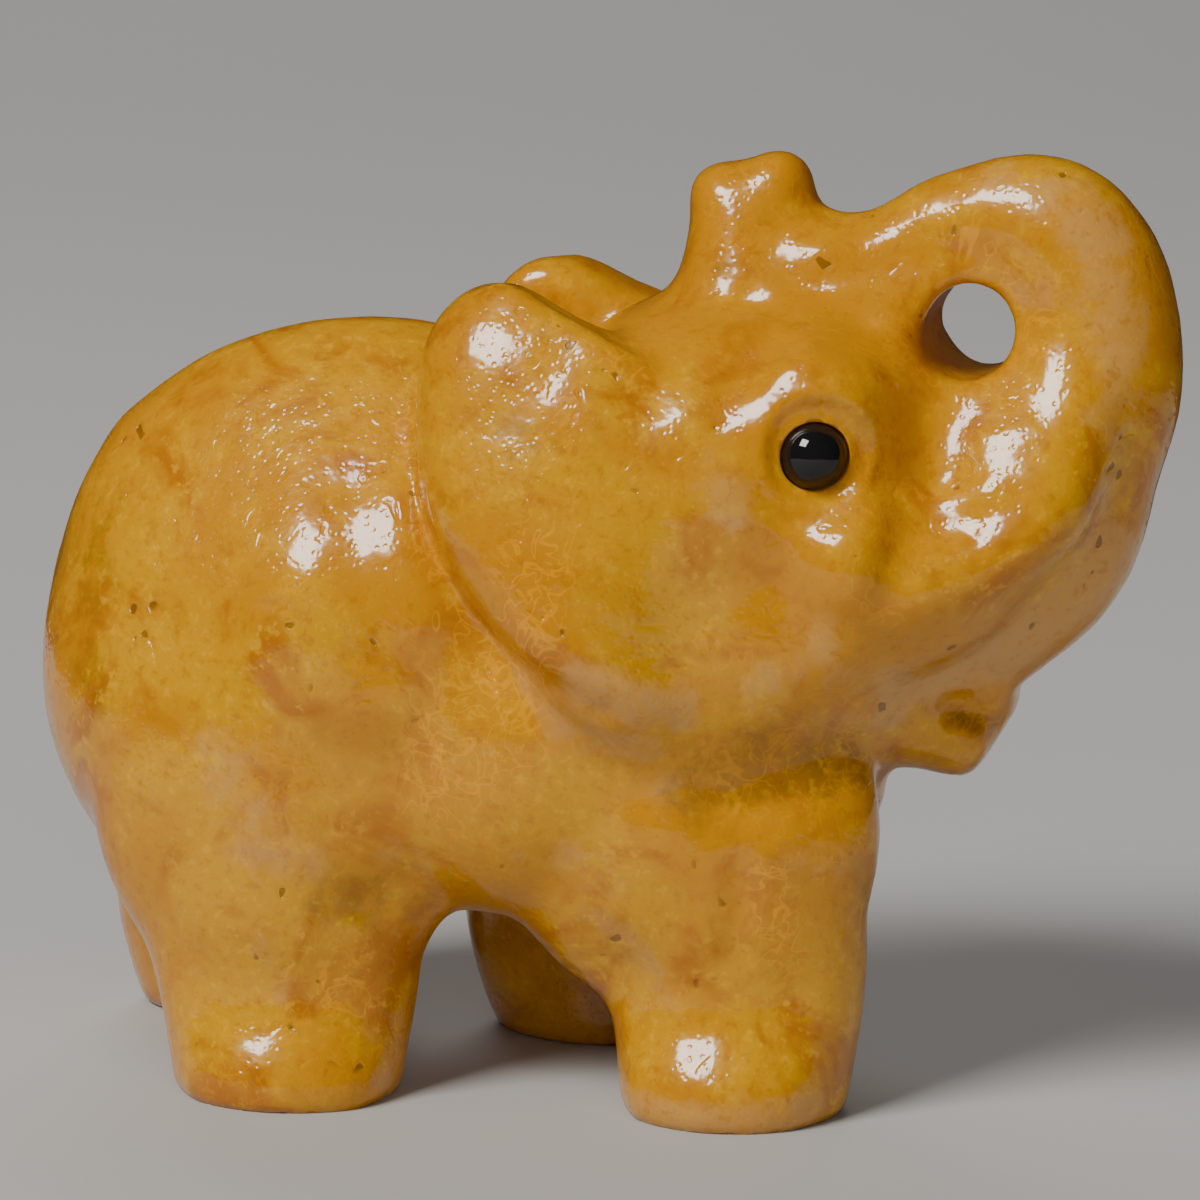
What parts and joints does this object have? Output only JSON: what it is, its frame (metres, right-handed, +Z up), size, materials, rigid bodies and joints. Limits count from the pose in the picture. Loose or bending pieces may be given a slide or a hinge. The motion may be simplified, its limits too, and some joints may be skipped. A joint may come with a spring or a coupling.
{
  "type": "animal figurine",
  "caption": "Small polished yellow stone elephant carving, mid-stride, with its trunk curled back over the forehead and round black bead eyes.",
  "frame": {"origin": "middle of the bounding box in plan, on the plane of the four soles", "axes": "+X the way the elephant faces, +Y its left side, +Z up"},
  "size_m": [0.0502, 0.0234, 0.0403],
  "materials": {
    "jasper": "hand polished, slightly translucent, fine pits",
    "eye_bead": "mirror polished black bead"
  },
  "bodies": {
    "root": {"elephant": "jasper", "right_eye_bead": "eye_bead", "left_eye_bead": "eye_bead"}
  },
  "joints": []
}
